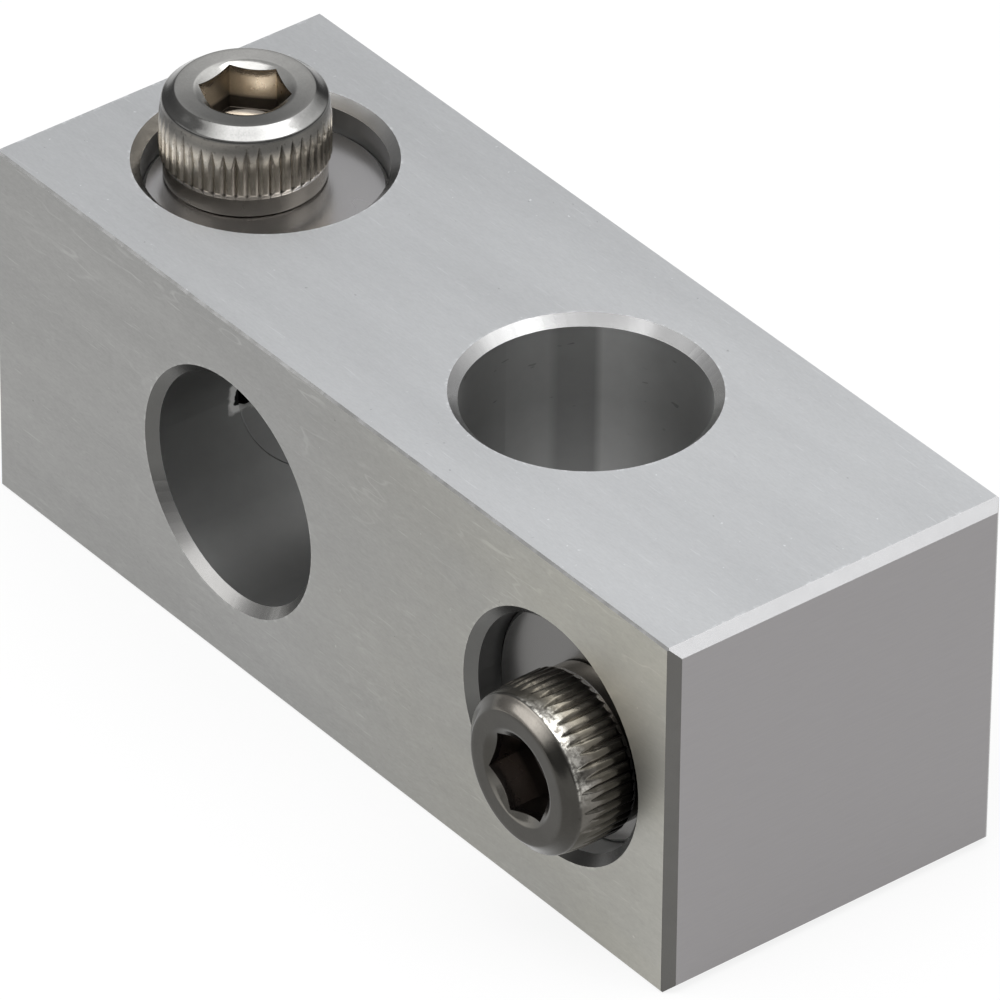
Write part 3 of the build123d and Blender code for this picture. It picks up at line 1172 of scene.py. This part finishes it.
def add_sky():
    """A white studio, brighter overhead than at the horizon."""
    world = bpy.data.worlds.new("studio")
    bpy.context.scene.world = world
    world.use_nodes = True
    t = Tree(world.node_tree)
    up = t.split(t.add("ShaderNodeTexCoord").outputs["Generated"])[2]
    strength = t.span(up, 0.1, 0.8, 0.30, 1.0, interpolation_type="SMOOTHSTEP")
    sky = t.add("ShaderNodeBackground", {"Color": (1, 1, 1, 1), "Strength": strength})
    t.add("ShaderNodeOutputWorld", {"Surface": sky.outputs[0]})


def add_softbox(name, direction, distance, size, radiance):
    """A rectangular lamp that faces the object, seen as bright as radiance."""
    lamp = bpy.data.lights.new(name, "AREA")
    lamp.shape = "RECTANGLE"
    lamp.size, lamp.size_y = size
    lamp.energy = radiance * math.pi * size[0] * size[1]
    made = add_object(name, lamp)
    aim = Vector(direction).normalized()
    made.location = Vector((0, 0, BAR_HALF * MM)) + aim * distance
    side = Vector((0, 0, 1)).cross(aim).normalized()
    made.rotation_euler = Matrix((side, aim.cross(side), aim)).transposed().to_euler()
    made.visible_camera = False


def add_camera():
    camera = add_object("camera", bpy.data.cameras.new("camera"))
    camera.data.sensor_width = SENSOR
    camera.data.lens = LENS
    camera.data.clip_start = 0.01
    axes = Matrix((CAMERA_RIGHT, -CAMERA_DOWN, CAMERA_RIGHT.cross(-CAMERA_DOWN)))
    camera.matrix_world = Matrix.Translation(CAMERA_PLACE) @ axes.transposed().to_4x4()
    bpy.context.scene.camera = camera


top_seat = seat_matrix((-SCREW_X, 0, BAR_HALF + SEAT_HEIGHT), (-1, 0, 0), (0, 0, 1))
front_seat = seat_matrix((SCREW_X, -SEAT_HEIGHT, BAR_HALF), (1, 0, 0), (0, -1, 0))
top_steel = steel_material("stainless_top_screw", TOP_STEEL)
# The front screw's colours are a darker copy of the top one's: painted shade
shaded_front_steel = steel_material("stainless_front_screw_shaded", SHADED_FRONT_STEEL)
add_screw("top_screw_finish", "top_clamp_screw", "top_screw", top_seat, TOP_TURN, top_steel, TOP_LOOK)
add_screw("front_screw_finish", "front_clamp_screw", "front_screw", front_seat, FRONT_TURN, shaded_front_steel,
          FRONT_LOOK)

top_jaws = jaw_material("turned_jaw_top", (-CLAMP_X * MM, 0, 0), 2, TOP_JAW_GREY)
# The front jaws get a darker grey than the top ones: painted shade
shaded_front_jaws = jaw_material("turned_jaw_front_shaded", (CLAMP_X * MM, 0, BAR_HALF * MM), 1, SHADED_FRONT_JAW_GREY)
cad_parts["top_head_jaw"].data.materials[0] = top_jaws
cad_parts["front_head_jaw"].data.materials[0] = shaded_front_jaws
add_threaded_jaw("bottom_jaw_finish", "bottom_threaded_jaw", "bottom_jaw", top_seat, top_jaws)
add_threaded_jaw("back_jaw_finish", "back_threaded_jaw", "back_jaw", front_seat, shaded_front_jaws)
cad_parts["clamp_block"].data.materials[0] = bar_material()

add_floor()
add_sky()
add_softbox("overhead", direction=(0.13, -0.10, 0.98), distance=0.55, size=(0.84, 0.34), radiance=3.3)
add_softbox("right_panel", direction=(0.58, 0.51, 0.60), distance=0.60, size=(0.28, 0.28), radiance=0.7)
add_softbox("left_panel", direction=(-0.36, -0.76, 0.50), distance=0.55, size=(0.50, 0.24), radiance=1.0)
add_camera()
bpy.context.scene.view_settings.view_transform = "Standard"
